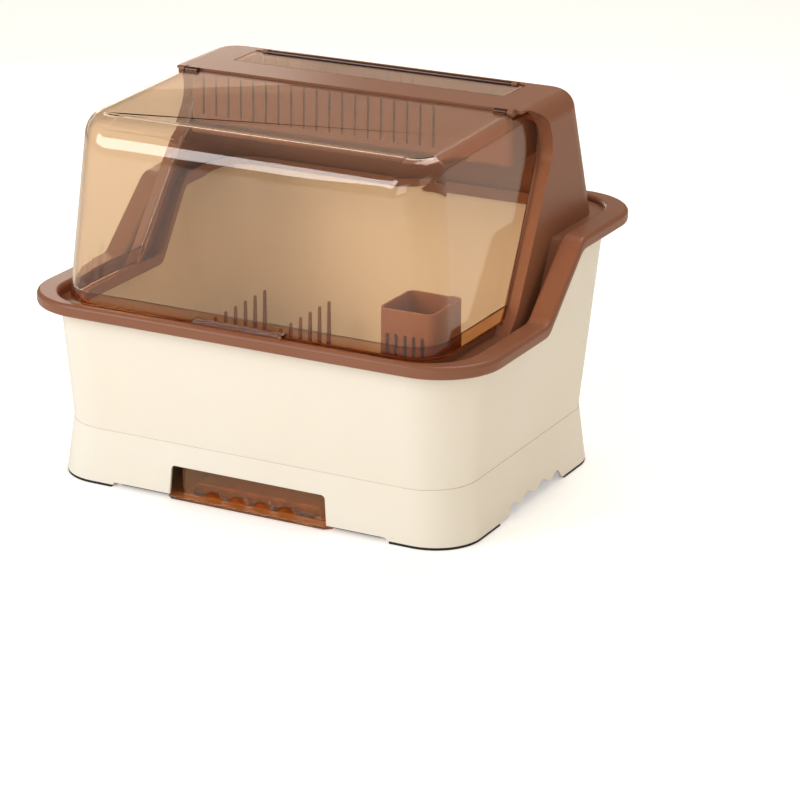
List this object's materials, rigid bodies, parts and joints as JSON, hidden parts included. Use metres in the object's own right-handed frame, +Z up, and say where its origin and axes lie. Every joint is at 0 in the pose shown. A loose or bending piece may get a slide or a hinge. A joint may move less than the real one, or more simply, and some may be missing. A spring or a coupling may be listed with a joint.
{
  "type": "dish storage cabinet",
  "caption": "Lidded dish storage cabinet with a hinged clear cover, a cutlery trough, racks, a drain board and a sliding drip tray.",
  "frame": {"origin": "under the middle of the whole cabinet, on the surface it stands on", "axes": "+X to the right seen from the front, +Y to the back, +Z up"},
  "size_m": [0.46, 0.369, 0.3523],
  "materials": {
    "cream_plastic": "satin",
    "brown_plastic": "satin",
    "clear_plastic": "gloss",
    "smoked_plastic": "gloss",
    "amber_plastic": "gloss",
    "rubber": "matt",
    "pin_steel": "satin"
  },
  "bodies": {
    "cabinet": {"base_skirt": "cream_plastic", "bin_body": "cream_plastic", "hood_frame": "brown_plastic", "cutlery_trough": "brown_plastic", "drain_board": "cream_plastic", "plate_rack_front": "brown_plastic", "plate_rack_rear": "brown_plastic", "bowl_rack": "brown_plastic", "cutlery_holder": "brown_plastic", "foot_pad_front_left": "rubber", "foot_pad_front_right": "rubber", "foot_pad_rear_left": "rubber", "foot_pad_rear_right": "rubber", "cover_hinge_pin_left": "pin_steel", "lid_hinge_pin_left": "pin_steel", "cover_bumper_left": "rubber", "cover_hinge_pin_right": "pin_steel", "lid_hinge_pin_right": "pin_steel", "cover_bumper_right": "rubber"},
    "cover": {"front_cover": "clear_plastic"},
    "lid": {"window_lid": "smoked_plastic"},
    "tray": {"drip_tray": "amber_plastic"}
  },
  "joints": [
    {"name": "cover_hinge", "type": "hinge", "parent": "cabinet", "child": "cover", "pos_m": [0, 0.0154, 0.348], "axis": [-1, 0, 0], "range_deg": [0, 125]},
    {"name": "lid_hinge", "type": "hinge", "parent": "cabinet", "child": "lid", "pos_m": [0, 0.1034, 0.3497], "axis": [-1, 0, 0], "range_deg": [0, 100]},
    {"name": "tray_slide", "type": "slide", "parent": "cabinet", "child": "tray", "axis": [0, -1, 0], "range_m": [0, 0.2]}
  ]
}
